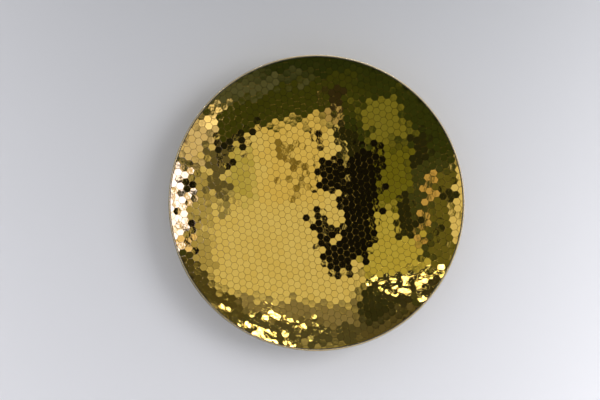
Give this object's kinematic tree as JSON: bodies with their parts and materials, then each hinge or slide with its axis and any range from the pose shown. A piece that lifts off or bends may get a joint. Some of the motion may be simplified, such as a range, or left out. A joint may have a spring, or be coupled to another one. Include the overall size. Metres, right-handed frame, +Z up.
{
  "type": "faceted wall reflector",
  "caption": "Round concave gold reflector with a honeycomb of small flat mirrors, polished rim and band, on a ribbed frame hung by a two-part wall cleat with screw feet.",
  "frame": {"origin": "centre of the wall plate's back face, on the wall and on the dish's axis", "axes": "+Z up, +Y into the wall, the mirror looks along -Y, +X to the viewer's right"},
  "size_m": [1.0998, 0.1668, 1.1],
  "materials": {
    "gold_mirror": "mirror-polished and gold-lacquered, with a low honeycomb of flat facets",
    "gold_band": "polished and gold-lacquered sheet and trim",
    "frame_aluminium": "laser-cut plate and extrusion, lightly brushed",
    "soft_strip": "closed-cell bedding strip",
    "painted_plate": "powder-coated pale grey steel",
    "zinc_fastener": "zinc-plated",
    "bush_brass": "turned brass",
    "foot_steel": "turned steel",
    "foot_rubber": "moulded rubber"
  },
  "bodies": {
    "wall_side": {"wall_plate": "painted_plate", "wall_cleat": "frame_aluminium", "wall_cleat_screws": "zinc_fastener", "side_stops": "frame_aluminium"},
    "dish": {"facet_skin": "gold_mirror", "rim_ring": "gold_band", "side_band": "gold_band", "seam_strip": "frame_aluminium", "hub_plate": "frame_aluminium", "hub_pad": "soft_strip", "back_ring": "frame_aluminium", "rib_1": "frame_aluminium", "rib_2": "frame_aluminium", "rib_3": "frame_aluminium", "rib_4": "frame_aluminium", "rib_5": "frame_aluminium", "rib_6": "frame_aluminium", "rib_7": "frame_aluminium", "rib_8": "frame_aluminium", "rib_strip_1": "soft_strip", "rib_strip_2": "soft_strip", "rib_strip_3": "soft_strip", "rib_strip_4": "soft_strip", "rib_strip_5": "soft_strip", "rib_strip_6": "soft_strip", "rib_strip_7": "soft_strip", "rib_strip_8": "soft_strip", "dish_cleat": "frame_aluminium", "dish_cleat_screws": "zinc_fastener", "dish_cleat_nuts": "zinc_fastener", "foot_bush_left": "bush_brass", "foot_bush_right": "bush_brass"},
    "foot_pad_left": {"foot_cup_left": "foot_steel", "foot_rubber_left": "foot_rubber"},
    "foot_spindle_left": {"foot_screw_left": "foot_steel"},
    "foot_pad_right": {"foot_cup_right": "foot_steel", "foot_rubber_right": "foot_rubber"},
    "foot_spindle_right": {"foot_screw_right": "foot_steel"}
  },
  "joints": [
    {"name": "dish_lift", "type": "slide", "parent": "wall_side", "child": "dish", "axis": [0, 0, 1], "range_m": [0, 0.02]},
    {"name": "foot_travel_left", "type": "slide", "parent": "dish", "child": "foot_pad_left", "axis": [0, -1, 0], "range_m": [0, 0.01]},
    {"name": "foot_turn_left", "type": "hinge", "parent": "foot_pad_left", "child": "foot_spindle_left", "pos_m": [-0.18541, -0.0105, -0.44762], "axis": [0, -1, 0], "range_deg": [0, 2880]},
    {"name": "foot_travel_right", "type": "slide", "parent": "dish", "child": "foot_pad_right", "axis": [0, -1, 0], "range_m": [0, 0.01]},
    {"name": "foot_turn_right", "type": "hinge", "parent": "foot_pad_right", "child": "foot_spindle_right", "pos_m": [0.18541, -0.0105, -0.44762], "axis": [0, -1, 0], "range_deg": [0, 2880]}
  ],
  "couplings": [
    {"joint": "foot_turn_left", "follows": "foot_travel_left", "rad_per_m": 5026.5},
    {"joint": "foot_turn_right", "follows": "foot_travel_right", "rad_per_m": 5026.5}
  ]
}
